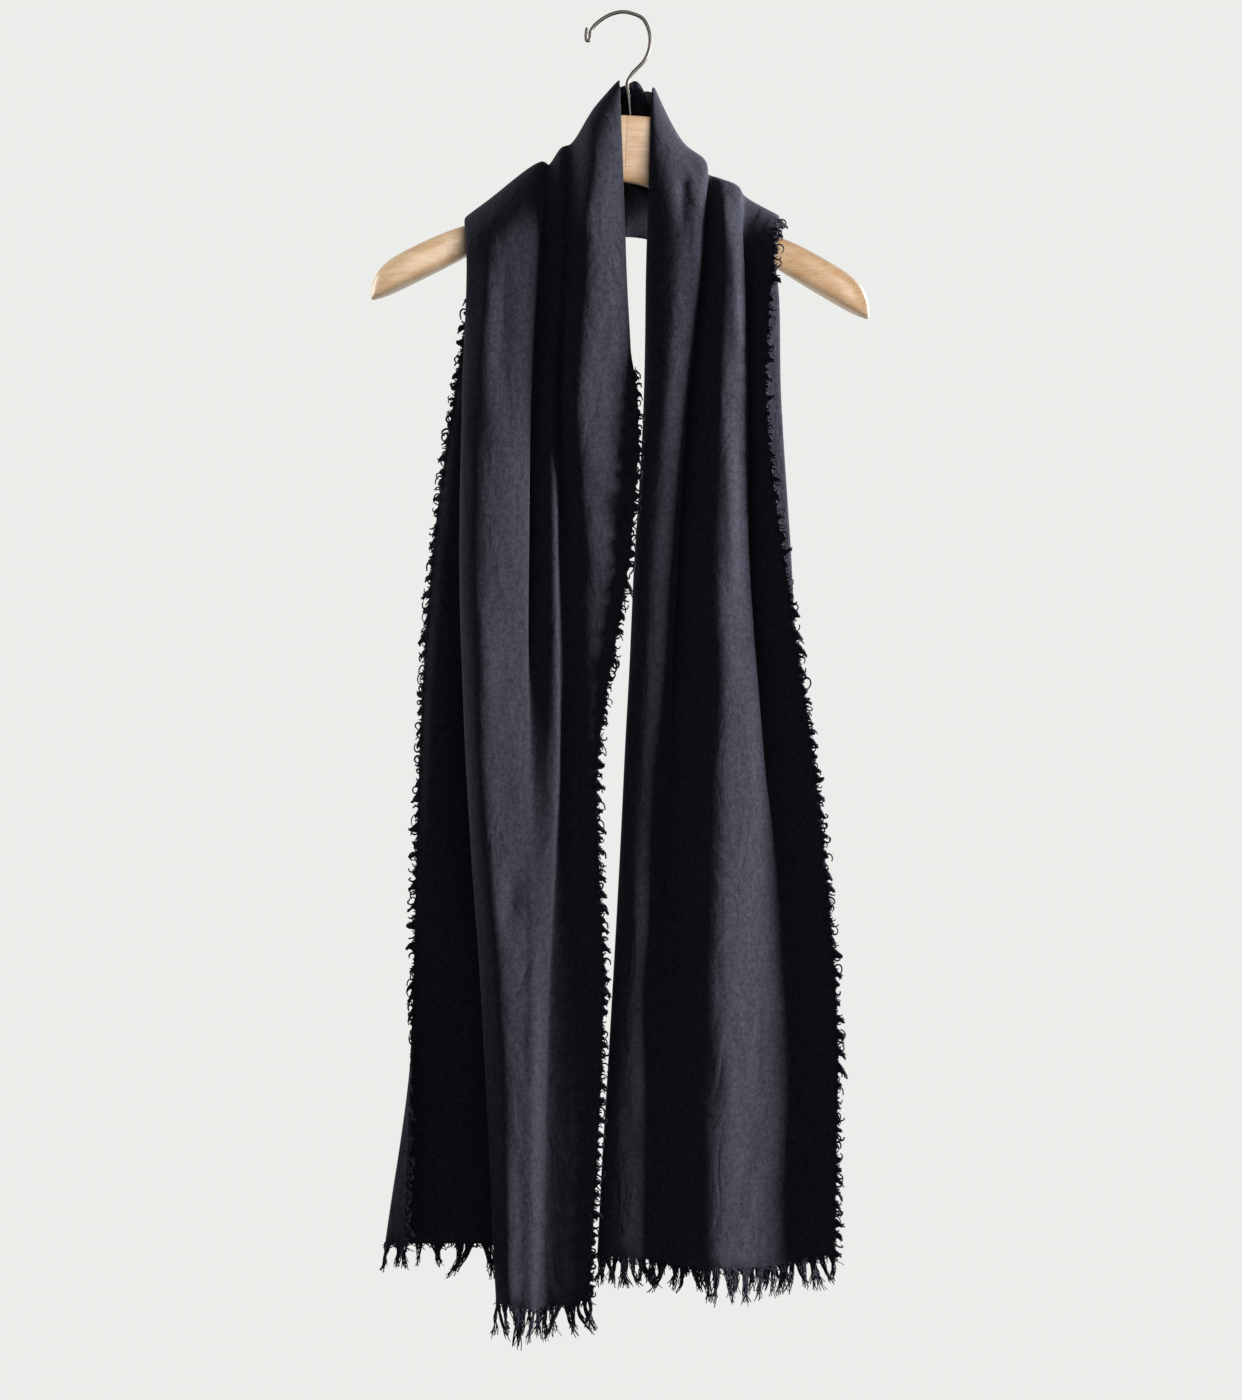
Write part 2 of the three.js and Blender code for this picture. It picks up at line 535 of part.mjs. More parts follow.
// The hanger, tilted about the middle of its block's top face
const hanger = new THREE.Group();
hanger.position.set(HANGER_TOP.x, HANGER_TOP.y, HANGER_TOP.z);
hanger.rotation.y = TILT;
group.add(hanger);
add('hanger_left_half', hangerHalf(-1), BEECH, hanger);
add('hanger_right_half', hangerHalf(1), BEECH, hanger);

// The hook is drawn where it hangs, on its rail
add('hook_wire', wire(HOOK_PATH, WIRE_RADIUS, WIRE_SIDES, 30), STEEL);
const tip = new THREE.CapsuleGeometry(TIP_RADIUS, TIP.length, 4, 10);
tip.rotateX(Math.PI / 2);
tip.rotateY(TIP.lean);
tip.translate(TIP.x, 0, TIP.z);
add('hook_tip', tip, STEEL);

export default group;
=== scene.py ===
# %% [markdown]
# A fringed wool shawl on a coat hanger
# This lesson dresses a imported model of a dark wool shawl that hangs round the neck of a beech
# hanger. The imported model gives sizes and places. Here the cloth becomes one soft sheet, its
# edges get loose yarn, the wood gets grain and the hook becomes plated wire.

import math
import random

import bmesh
import bpy
import numpy as np
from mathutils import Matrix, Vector, noise


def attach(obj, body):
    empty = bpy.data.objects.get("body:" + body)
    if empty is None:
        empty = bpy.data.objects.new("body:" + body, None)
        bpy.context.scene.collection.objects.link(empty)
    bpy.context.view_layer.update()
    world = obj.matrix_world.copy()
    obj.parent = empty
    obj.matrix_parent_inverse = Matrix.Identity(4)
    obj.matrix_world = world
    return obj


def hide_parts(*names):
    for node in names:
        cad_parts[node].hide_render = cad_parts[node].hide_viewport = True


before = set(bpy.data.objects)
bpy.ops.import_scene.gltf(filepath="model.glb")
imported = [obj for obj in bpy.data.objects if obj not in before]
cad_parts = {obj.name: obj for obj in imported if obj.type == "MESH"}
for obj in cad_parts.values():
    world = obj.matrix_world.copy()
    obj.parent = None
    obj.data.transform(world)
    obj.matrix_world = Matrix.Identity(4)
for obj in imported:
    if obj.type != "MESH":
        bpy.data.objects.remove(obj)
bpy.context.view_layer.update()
MM = 0.001


# %% [markdown]
# The camera
# The shawl hangs in front of a pale wall and the camera looks straight at it from a little over
# two and a half metres. A camera is set by where it stands, what it looks at and its angle of
# view. The angle is worked out from the height of the view at the hanger, because a height in
# millimetres is easier to check against the object than a focal length.

# %% Camera
CAMERA_DISTANCE = 2.6
VIEW_CENTRE = Vector((-0.001, 0.0, -0.549))
VIEW_HEIGHT = 1400 * 0.8 * MM

camera_data = bpy.data.cameras.new("camera")
camera_data.sensor_fit = "VERTICAL"
camera_data.angle = 2 * math.atan(VIEW_HEIGHT / 2 / CAMERA_DISTANCE)
camera = bpy.data.objects.new("camera", camera_data)
camera.location = VIEW_CENTRE + Vector((0, -CAMERA_DISTANCE, 0))
camera.rotation_euler = (math.pi / 2, 0, 0)
bpy.context.scene.collection.objects.link(camera)
bpy.context.scene.camera = camera
print("camera sees", round(VIEW_HEIGHT, 3), "m at", CAMERA_DISTANCE, "m")


# %% [markdown]
# The length of the cloth
# The shawl is a long rectangle of cloth that was gathered into folds and hung. The folds run
# along it from hem to hem, so it is described by fifteen lines that run with them: each line is
# a fold, a valley or a selvedge. A row below gives one line's place at six heights down a fall,
# read from the front, with x to the right and y away from the viewer, in millimetres.

# %% The lines of the two falls
FALL_HEIGHTS = [-209, -312, -438, -596, -786]

# Each row: x at the five heights and the hem, y at the same, height of the hem.
LEFT_FALL = [
    ([-116, -134, -151, -161, -166, -171], [-17, -16, -15, -15, -22, -38], -978),
    ([-104, -123, -139, -150, -161, -188], [-20, -21, -22, -21, -18, -25], -980),
    ([-72, -84, -92, -101, -112, -130], [-17, -16, -16, -16, -17, -17], -981),
    ([-30, -34, -36, -40, -40, -44], [-20, -21, -21, -21, -21, -21], -982),
    ([-72, -74, -80, -90, -96, -88], [-24, -25, -26, -26, -26, -26], -1000),
    ([-38, -42, -44, -48, -48, -48], [-33, -32, -31, -31, -31, -31], -1018),
    ([-123, -126, -128, -123, -111, -99], [-42, -44, -46, -46, -42, -40], -1022),
    ([-104, -111, -114, -111, -96, -90], [-54, -58, -61, -62, -56, -52], -1024),
    ([-68, -72, -74, -77, -77, -81], [-45, -46, -47, -50, -52, -50], -1026),
    ([-66, -73, -76, -70, -69, -71], [-36, -37, -37, -47, -50, -48], -1027),
    ([-49, -55, -53, -52, -60, -66], [-41, -44, -48, -48, -40, -40], -1028),
    ([-43, -49, -49, -48, -57, -61], [-39, -37, -37, -36, -36, -36], -1027),
    ([-28, -36, -25, -33, -36, -44], [-56, -56, -46, -40, -38, -38], -1026),
    ([3, 7, 0, -24, -20, -31], [-42, -40, -41, -44, -42, -40], -1022),
    ([-6, 11.5, 5, -19, -15, -26], [-32, -43, -44.5, -46, -44, -42], -1018),
]
RIGHT_FALL = [
    ([119, 113, 127, 150, 168, 167], [-44, -48, -50, -50, -48, -48], -985),
    ([93, 96, 96, 112, 141, 145], [-33, -33, -33, -34, -32, -32], -990),
    ([96, 99, 100, 111, 128, 125], [-40, -42, -43, -42, -36, -36], -994),
    ([81, 77, 74, 74, 70, 68], [-50, -54, -58, -60, -60, -58], -994),
    ([62, 51, 43, 38, 36, 40], [-34, -34, -34, -34, -36, -38], -994),
    ([62, 51, 43, 35, 27, 24], [-42, -43, -42, -39, -37, -38], -990),
    ([42, 34, 25, 17, 9, 5], [-50, -51, -49, -46, -44, -44], -988),
    ([19, 17, 10, 2, -8, -20], [-40, -40, -39, -38, -37, -37], -986),
    ([30, 28, 22, 16, 6, -6], [-28, -28, -28, -28, -28, -28], -986),
    ([70, 66, 66, 66, 62, 54], [-26, -27, -27, -27, -27, -27], -988),
    ([101, 105, 111, 117, 121, 121], [-27, -28, -28, -28, -28, -28], -990),
    ([122, 126, 134, 142, 150, 152], [-22, -24, -25, -25, -25, -25], -990),
    ([98, 102, 112, 124, 132, 134], [-18, -19, -20, -20, -20, -20], -990),
    ([52, 50, 54, 66, 84, 92], [-18, -18, -18, -18, -18, -18], -990),
    ([32, 30, 33, 43, 60, 70], [-19, -19, -19, -19, -19, -19], -990),
]
print("lines in each fall:", len(LEFT_FALL), len(RIGHT_FALL))


# %% [markdown]
# Over the arms and behind the neck
# Between the falls the cloth climbs over one arm, passes behind the hook and comes down over the
# other. Three more places on each line are enough: on top of the arm, behind it and behind the
# hanger's neck, with one gathered section in the middle. In front of the arm the cloth bulges.

# %% The lines over the shoulders
# Each row: top of the arm, behind it, behind the neck, each as (x, y, z).
LEFT_SHOULDER = [
    ((-104, 2, -157), (-98, 20, -176), (-42, 24, -176)),
    ((-92, 2, -150.5), (-86, 20, -170), (-36, 17, -168)),
    ((-78, 3, -142.5), (-72, 20, -160), (-30, 19, -152)),
    ((-40, 3, -120), (-36, 19, -127), (-24, 17, -134)),
    ((-52, 0, -121), (-36, 24, -120), (-20, 21, -112)),
    ((-72, -1, -133.5), (-62, 28, -146), (-28, 29, -130)),
    ((-124, -1, -164), (-100, 34, -184), (-36, 36, -162)),
    ((-104, -2, -148), (-84, 43, -168), (-32, 46, -152)),
    ((-64, -3, -119), (-52, 41, -139), (-24, 42, -136)),
    ((-59, -1, -122), (-48, 36, -130), (-20, 48, -122)),
    ((-48, -3, -108), (-38, 38, -118), (-16, 40, -106)),
    ((-41, -1, -106), (-34, 36, -106), (-12, 42, -92)),
    ((-22, -3, -76), (-18, 36, -86), (-6, 44, -67)),
    ((-2, 8, -52), (-2, 28, -53), (3, 36, -51)),
    ((-8, 3, -65), (-3, 22, -66), (6, 30, -50)),
]
RIGHT_SHOULDER = [
    ((124, -2, -162), (106, 34, -174), (52, 42, -182)),
    ((97, -1, -146), (84, 32, -165), (46, 46, -170)),
    ((92, -3, -138), (78, 34, -156), (42, 48, -158)),
    ((78, -2, -132), (64, 36, -148), (38, 40, -146)),
    ((68, 0, -128), (58, 28, -140), (34, 38, -136)),
    ((66, -2, -118), (52, 34, -128), (32, 46, -124)),
    ((48, -2, -104), (40, 34, -112), (26, 48, -104)),
    ((24, 6, -58), (26, 33, -56), (19, 44, -53)),
    ((32, 11, -85), (30, 23, -84), (20, 34, -82)),
    ((56, 2, -130), (52, 20, -134), (28, 27, -106)),
    ((84, 2, -148), (70, 22, -156), (30, 31, -130)),
    ((103, 2, -159), (86, 20, -172), (36, 19, -140)),
    ((88, 3, -154.5), (74, 16, -168), (28, 15, -116)),
    ((64, 3, -139), (56, 13, -143), (26, 15, -97)),
    ((42, 2, -119), (41, 16, -117), (25, 23, -79)),
]

# The one section in the middle, as (y, z) for each line.
NECK_X = 12
NECK_SECTION = [
    (47, -172), (40, -168), (32, -161), (20, -151), (17, -140),
    (38, -129), (62, -102), (55, -54), (44, -82), (36, -94),
    (27, -92), (15, -79), (17, -66), (21, -57), (27, -50),
]

# How far the cloth stands off in front of an arm: a constant and a share of the fall's own y.
BULGE = 4.5
BULGE_SHARE = 0.25


def fall_section(rows, column):
    """The fifteen points of a fall at one of its heights."""
    height = FALL_HEIGHTS[column] if column < len(FALL_HEIGHTS) else None
    return [(x[column], y[column], hem if height is None else height) for x, y, hem in rows]


def front_section(shoulder, fall):
    """Midway between the top of the arm and the fall, pushed out by the cloth's own bulge."""
    points = []
    for (top, _, _), low in zip(shoulder, fall_section(fall, 0)):
        middle = [(a + b) / 2 for a, b in zip(top, low)]
        middle[1] -= BULGE + BULGE_SHARE * abs(low[1])
        points.append(tuple(middle))
    return points


stations = [fall_section(LEFT_FALL, column) for column in (5, 4, 3, 2, 1, 0)]
stations += [front_section(LEFT_SHOULDER, LEFT_FALL)]
stations += [[row[place] for row in LEFT_SHOULDER] for place in (0, 1, 2)]
stations += [[(NECK_X, y, z) for y, z in NECK_SECTION]]
stations += [[row[place] for row in RIGHT_SHOULDER] for place in (2, 1, 0)]
stations += [front_section(RIGHT_SHOULDER, RIGHT_FALL)]
stations += [fall_section(RIGHT_FALL, column) for column in (0, 1, 2, 3, 4, 5)]
stations = np.array(stations, float)
print("stations along the cloth:", len(stations), "lines across it:", stations.shape[1])


# %% [markdown]
# From lines to a surface
# A curve that passes through every given point keeps the folds where they were read. The
# centripetal kind doesn't loop between points that stand close together, which suits folds.
# It runs first along each line and then across the lines, so folds stay long and soft.

# %% Curve through the lines
def curve_through(points, steps):
    """Centripetal curve through rows of points, with a number of steps for each gap."""
    ends = np.concatenate([[2 * points[0] - points[1]], points, [2 * points[-1] - points[-2]]])
    result = []
    for span, count in enumerate(steps):
        p0, p1, p2, p3 = ends[span:span + 4]
        gaps = [np.sqrt(np.linalg.norm(b - a, axis=-1, keepdims=True)).clip(1e-4)
                for a, b in ((p0, p1), (p1, p2), (p2, p3))]
        d0, d1, d2 = gaps
        start = ((p1 - p0) / d0 - (p2 - p0) / (d0 + d1) + (p2 - p1) / d1) * d1
        end = ((p2 - p1) / d1 - (p3 - p1) / (d1 + d2) + (p3 - p2) / d2) * d1
        for step in range(count):
            t = step / count
            result.append((2 * t**3 - 3 * t**2 + 1) * p1 + (t**3 - 2 * t**2 + t) * start
                          + (3 * t**2 - 2 * t**3) * p2 + (t**3 - t**2) * end)
    result.append(points[-1])
    return np.array(result)


FALL_STEPS = [18, 20, 18, 16, 14, 13]
SHOULDER_STEPS = [10, 9]
NECK_STEPS = [12, 10]
STEPS_ACROSS = 11
half_steps = FALL_STEPS + SHOULDER_STEPS + NECK_STEPS
length_steps = half_steps + half_steps[::-1]
lines = curve_through(stations, length_steps)
across = curve_through(lines.transpose(1, 0, 2), [STEPS_ACROSS] * (lines.shape[1] - 1))
surface = across.transpose(1, 0, 2)

# Wool can't turn on a knife edge, so a few rounds of averaging across give each fold a radius.
ROUNDS_OF_AVERAGING = 4
for _ in range(ROUNDS_OF_AVERAGING):
    surface[:, 1:-1] = 0.5 * surface[:, 1:-1] + 0.25 * (surface[:, :-2] + surface[:, 2:])
print("rows along:", surface.shape[0], "points across:", surface.shape[1])


# %% [markdown]
# Listed creases
# The main folds are in the lines. A real shawl also keeps small creases from being folded and
# handled, which fade at both ends. Each is laid along a short path seen from the front or from
# behind, with a width and a depth, and pushes only the layers that face that way.

# %% Small creases
# The front layers stand before this y and the back layers behind that one, below these heights.
FRONT_LAYERS_Y = -33
FRONT_TOP = -100
BACK_LAYERS_Y = -24
BACK_TOP = -190

# Each row: side seen, x and z where it starts, x and z where it ends, width, depth (out is +).
CREASES = [
    ("front", -30, -158, -34, -190, 5, 2.5),
    ("front", 51, -112, 46, -180, 5, -3.0),
    ("front", 78, -140, 83, -186, 6, 2.0),
    ("front", 69, -480, 67, -590, 8, -2.2),
    ("front", -86, -690, -90, -726, 7, -4.0),
    ("front", -33, -375, 8, -420, 8, -2.5),
    ("front", -40, -410, -10, -452, 9, 2.0),
    ("front", -30, -330, 2, -352, 8, -1.6),
    ("front", 10, -675, 14, -760, 12, 2.5),
    ("front", 134, -770, 150, -860, 7, -1.8),
    ("front", 142, -925, 160, -958, 6, 1.8),
    ("front", 2, -860, 10, -912, 6, -1.5),
    ("front", -118, -300, -108, -360, 9, -1.6),
    ("front", -112, -470, -104, -560, 9, 1.8),
    ("front", 98, -300, 92, -420, 9, -1.4),
    ("front", 60, -800, 74, -900, 10, -1.8),
    ("front", -80, -820, -74, -930, 8, 1.6),
    ("front", 88, -176, 92, -290, 5, 2.6),
    ("front", 100, -196, 98, -300, 5, -2.6),
    ("front", 60, -130, 58, -230, 5, 2.0),
    ("front", 84, -330, 88, -470, 6, 2.4),
    ("front", 101, -520, 104, -700, 9, 2.2),
    ("front", 116, -640, 128, -820, 10, -2.0),
    ("front", 20, -300, 12, -480, 6, 1.6),
    ("front", -104, -196, -110, -300, 6, 1.8),
    ("front", -90, -200, -96, -330, 6, -1.8),
    ("front", -20, -520, -34, -640, 8, 2.4),
    ("front", -84, -560, -80, -660, 7, 1.8),
    ("front", 118, -880, 98, -960, 8, 1.6),
    ("front", 88, -860, 112, -940, 7, -1.4),
    ("back", -130, -300, -96, -420, 12, 3.0),
    ("back", -60, -260, -92, -400, 12, -3.5),
    ("back", -120, -520, -104, -760, 14, 3.5),
    ("back", -76, -600, -84, -860, 12, -3.0),
    ("back", -150, -780, -134, -930, 10, 2.5),
    ("back", 60, -240, 84, -420, 12, 3.5),
    ("back", 100, -300, 92, -520, 14, -3.0),
    ("back", 90, -560, 112, -800, 14, 3.5),
    ("back", 120, -700, 104, -930, 12, -3.0),
    ("back", 40, -460, 62, -640, 10, -2.5),
]


def grid_normals(points):
    """Unit normals of a grid of points, from the slopes along and across it."""
    along = np.gradient(points, axis=0)
    sideways = np.gradient(points, axis=1)
    normals = np.cross(sideways, along)
    return normals / np.linalg.norm(normals, axis=-1, keepdims=True).clip(1e-9)


front_seen = (surface[..., 1] < FRONT_LAYERS_Y) & (surface[..., 2] < FRONT_TOP)
back_seen = (surface[..., 1] > BACK_LAYERS_Y) & (surface[..., 2] < BACK_TOP)
push = np.zeros(surface.shape[:2])
for side, x0, z0, x1, z1, width, depth in CREASES:
    start = np.array((x0, z0), float)
    path = np.array((x1, z1), float) - start
    offset = surface[..., (0, 2)] - start
    share = (offset @ path / (path @ path)).clip(0, 1)
    distance = np.linalg.norm(offset - share[..., None] * path, axis=-1)
    fade = np.sin(np.pi * share.clip(0.04, 0.96)) ** 0.7
    seen = front_seen if side == "front" else back_seen
    outwards = -1 if side == "front" else 1
    push += seen * outwards * depth * fade * np.exp(-(distance / width) ** 2)
surface[..., 1] += push
print("creases laid:", len(CREASES), "deepest in mm:", round(float(np.abs(push).max()), 1))


# %% [markdown]
# The cloth itself
# A grid made by an operator already has the right faces, so only its points are moved. Real
# cloth is never even, so a slow noise moves each point by less than a millimetre. The grid's UV
# map holds real metres along and across the cloth, and the weave is drawn from it later.

# %% Shawl
WALL = 1.2 * MM
UNEVEN = 0.7
WAVES_ACROSS = 28
WAVES_ALONG = 11

row_count, column_count = surface.shape[:2]
normals = grid_normals(surface)
steps_along = np.linalg.norm(np.diff(surface, axis=0), axis=-1).mean(axis=1)
steps_across = np.linalg.norm(np.diff(surface, axis=1), axis=-1).mean(axis=0)
metres_along = np.concatenate([[0], np.cumsum(steps_along)]) * MM
metres_across = np.concatenate([[0], np.cumsum(steps_across)]) * MM
for row in range(row_count):
    for column in range(column_count):
        place = Vector((metres_across[column] * WAVES_ACROSS, metres_along[row] * WAVES_ALONG, 0.5))
        surface[row, column] += normals[row, column] * UNEVEN * noise.noise(place)

shawl_mesh = bpy.data.meshes.new("shawl")
cloth = bmesh.new()
bmesh.ops.create_grid(cloth, x_segments=column_count - 1, y_segments=row_count - 1, size=0.5)
uv_layer = cloth.loops.layers.uv.new("cloth_metres")
cloth.verts.ensure_lookup_table()
grid_place = {}
for vert in cloth.verts:
    column = round((vert.co.x + 0.5) * (column_count - 1))
    row = round((vert.co.y + 0.5) * (row_count - 1))
    grid_place[vert.index] = (row, column)
    vert.co = Vector(surface[row, column]) * MM
for face in cloth.faces:
    face.smooth = True
    for loop in face.loops:
        row, column = grid_place[loop.vert.index]
        loop[uv_layer].uv = (metres_across[column], metres_along[row])
cloth.to_mesh(shawl_mesh)
cloth.free()
shawl = bpy.data.objects.new("shawl", shawl_mesh)
bpy.context.scene.collection.objects.link(shawl)

thickness = shawl.modifiers.new("wall", "SOLIDIFY")
thickness.thickness = WALL
thickness.offset = 0
thickness.use_even_offset = False
print("shawl faces:", len(shawl_mesh.polygons))
print("length in metres:", round(float(metres_along[-1]), 3))


# %% [markdown]
# Loose yarn on the edges
# The shawl was cut from the loom and its edges fray. At the hems the ends gather into locks: each
# starts as wide as a fingernail, draws together and ends in a loose curl. Along the sides the
# yarn springs out in small loops and tufts with short fuzz between them. A curve with a round
# bevel makes one yarn, and hundreds of splines in one curve object make an edge. That curve is
# then turned into a mesh.

# %% Yarn along an edge
YARN_STEPS = 8
YARN_TAPER = 0.45
LOCK_ROOT = 1.2
LOOP_ROOT = 1.0
LOCK_DROOP = 0.4
LOOP_DROOP = 0.5


def edge_of(points, inner, facing):
    """Points of one edge with the direction out of the cloth and the cloth's own normal."""
    outwards = points - inner
    outwards -= (outwards * facing).sum(axis=-1, keepdims=True) * facing
    outwards /= np.linalg.norm(outwards, axis=-1, keepdims=True).clip(1e-9)
    return points, outwards, facing


def place_on(edge, run, place):
    """Root, outward, sideways and facing directions at a distance along an edge."""
    root, out, facing = (
        Vector([float(np.interp(place, run, values[:, axis])) for axis in range(3)])
        for values in edge)
    out.normalize()
    facing.normalize()
    return root, out, out.cross(facing).normalized(), facing


def lay(curve, points, thick):
    """One yarn through points in millimetres, thinner towards its end."""
    spline = curve.splines.new("NURBS")
    spline.points.add(len(points) - 1)
    for step, point in enumerate(points):
        spline.points[step].co = (*(point * MM), 1)
        spline.points[step].radius = thick * (1 - YARN_TAPER * step / (len(points) - 1))
    spline.use_endpoint_u = True
    spline.order_u = 3


def lay_lock(curve, at, reach, width, dice):
    """Yarns that leave the edge side by side, draw together to a point and end in a curl."""
    root, out, along, facing = at
    lean = dice.gauss(0, 0.2)
    turns = dice.uniform(0.8, 1.8) * dice.choice((-1, 1))
    curl = dice.gauss(0, 0.25)
    lift = dice.gauss(0, 0.12)
    count = round(1.5 * width) + 3
    for number in range(count):
        offset = ((number + 0.5) / count - 0.5) * width
        length = reach * dice.uniform(0.7, 1.05)
        phase = dice.uniform(0, 2 * math.pi)
        stray = dice.gauss(0, 0.09)
        points = []
        for step in range(YARN_STEPS):
            share = step / (YARN_STEPS - 1)
            angle = phase + turns * 2 * math.pi * share
            swell = 0.4 + 0.07 * reach * share ** 2
            aside = offset * (1 - 0.85 * share) ** 1.3 + swell * math.cos(angle)
            aside += length * (lean * share + (curl + stray) * share ** 3)
            deep = swell * math.sin(angle) + lift * length * share
            outwards = length * share - LOCK_ROOT
            droop = Vector((0, 0, -LOCK_DROOP * length * share ** 2))
            points.append(root + out * outwards + along * aside + facing * deep + droop)
        lay(curve, points, dice.uniform(0.75, 1.2))


def lay_loop(curve, at, size, dice):
    """A yarn that springs out of the side and turns back in a loop or a hook."""
    root, out, along, facing = at
    turn = dice.choice((-1, 1))
    sweep = dice.uniform(0.7, 1.5) * math.pi
    tall = dice.uniform(0.6, 1.4)
    lift = dice.gauss(0, 0.35)
    points = []
    for step in range(YARN_STEPS):
        share = step / (YARN_STEPS - 1)
        angle = sweep * share
        outwards = size * (1 - math.cos(angle)) - LOOP_ROOT
        aside = turn * size * tall * (math.sin(angle) + 0.35 * share)
        deep = lift * size * math.sin(angle)
        droop = Vector((0, 0, -LOOP_DROOP * size * share ** 2))
        points.append(root + out * outwards + along * aside + facing * deep + droop)
    lay(curve, points, dice.uniform(0.8, 1.25))


def lay_fuzz(curve, at, reach, dice):
    """A short bent end."""
    root, out, along, facing = at
    lean, bow, lift = dice.gauss(0, 0.7), dice.gauss(0, 0.8), dice.gauss(0, 0.3)
    points = []
    for share in (0, 0.35, 0.7, 1):
        outwards = reach * share - LOOP_ROOT
        aside = reach * (lean * share + bow * share ** 2)
        points.append(root + out * outwards + along * aside + facing * reach * lift * share)
    lay(curve, points, dice.uniform(0.6, 1.0))


def yarn_edge(name, edge, seed, radius, locks=None, loops=None, fuzz=None):
    """One mesh of loose yarns. Each kind is given as its spacing, shortest and longest, in mm."""
    run = np.concatenate([[0], np.cumsum(np.linalg.norm(np.diff(edge[0], axis=0), axis=-1))])
    dice = random.Random(seed)
    curve = bpy.data.curves.new(name, "CURVE")
    curve.dimensions = "3D"
    curve.bevel_depth = radius * MM
    curve.bevel_resolution = 0
    curve.resolution_u = 2
    for kind, sizes in (("lock", locks), ("loop", loops), ("fuzz", fuzz)):
        if not sizes:
            continue
        spacing, least, most = sizes
        place = spacing * 0.4
        while place < run[-1]:
            at = place_on(edge, run, place)
            if kind == "lock":
                reach = dice.uniform(least, most)
                lay_lock(curve, at, reach, spacing * dice.uniform(0.45, 0.95), dice)
            elif kind == "loop":
                lay_loop(curve, at, dice.uniform(least, most), dice)
            else:
                lay_fuzz(curve, at, dice.uniform(least, most), dice)
            place += spacing * dice.uniform(0.55, 1.5)
    holder = bpy.data.objects.new(name, curve)
    bpy.context.scene.collection.objects.link(holder)
    bpy.context.view_layer.update()
    shown = holder.evaluated_get(bpy.context.evaluated_depsgraph_get())
    mesh = bpy.data.meshes.new_from_object(shown)
    yarn_count = len(curve.splines)
    bpy.data.objects.remove(holder)
    mesh.shade_smooth()
    piece = bpy.data.objects.new(name, mesh)
    bpy.context.scene.collection.objects.link(piece)
    print(name, "yarns:", yarn_count, "faces:", len(mesh.polygons))
    return piece


# Rows are counted from the left hem, and points across from the outer selvedge.
normals = grid_normals(surface)
back_hem_end = 3 * STEPS_ACROSS - 2
front_hem_start = 5 * STEPS_ACROSS + 2
inner_fray_rows = sum(FALL_STEPS[:4]) + 4
outer_fray_rows = sum(FALL_STEPS[:5])
right_fray_rows = sum(FALL_STEPS) + 7


def hem(row, inner_row, first, last):
    """The edge along a row of the grid, with the row that lies inside it."""
    cut = slice(first, last)
    return edge_of(surface[row, cut], surface[inner_row, cut], normals[row, cut])


def selvedge(column, inner_column, first, last):
    """The edge along a column of the grid, with the column that lies inside it."""
    cut = slice(first, last)
    return edge_of(surface[cut, column], surface[cut, inner_column], normals[cut, column])


BACK_HEM_YARN = dict(radius=0.65, locks=(12, 13, 21), fuzz=(1.2, 2.5, 6))
FRONT_HEM_YARN = dict(radius=0.65, locks=(7, 14, 24), fuzz=(1.2, 3, 7))
RIGHT_HEM_YARN = dict(radius=0.65, locks=(9.5, 13, 23), fuzz=(1.2, 3, 7))
SIDE_YARN = dict(radius=0.95, locks=(12, 3, 9), loops=(5, 1.6, 4.0), fuzz=(1.9, 1.5, 4))
yarns = {
    "fringe_left_back_hem": yarn_edge(
        "yarn_left_back_hem", hem(0, 3, 0, back_hem_end), seed=1, **BACK_HEM_YARN),
    "fringe_left_front_hem": yarn_edge(
        "yarn_left_front_hem", hem(0, 3, front_hem_start, column_count), seed=2, **FRONT_HEM_YARN),
    "fringe_right_hem": yarn_edge(
        "yarn_right_hem", hem(-1, -4, 0, column_count), seed=3, **RIGHT_HEM_YARN),
    "fray_left_outer": yarn_edge(
        "yarn_left_outer", selvedge(0, 2, 0, outer_fray_rows), seed=4, **SIDE_YARN),
    "fray_left_inner": yarn_edge(
        "yarn_left_inner", selvedge(-1, -3, 0, inner_fray_rows), seed=5, **SIDE_YARN),
    "fray_right_outer": yarn_edge(
        "yarn_right_outer", selvedge(0, 2, -right_fray_rows, row_count), seed=6, **SIDE_YARN),
    "fray_right_inner": yarn_edge(
        "yarn_right_inner", selvedge(-1, -3, -outer_fray_rows, row_count), seed=7, **SIDE_YARN),
}


# %% [markdown]
# The beech hanger
# The hanger is turned and sanded from two pieces of beech glued in the middle, with a round upper
# edge. Each half is a loft: a ring of points for each section, bridged to the next by an
# operator. A subdivision surface then softens it as sanding does.

# %% Hanger halves
TILT = math.radians(2.2)
HANGER_TOP = Vector((4, 0, -81.5))
JOINT_GAP = 0.02
RING_POINTS = 24

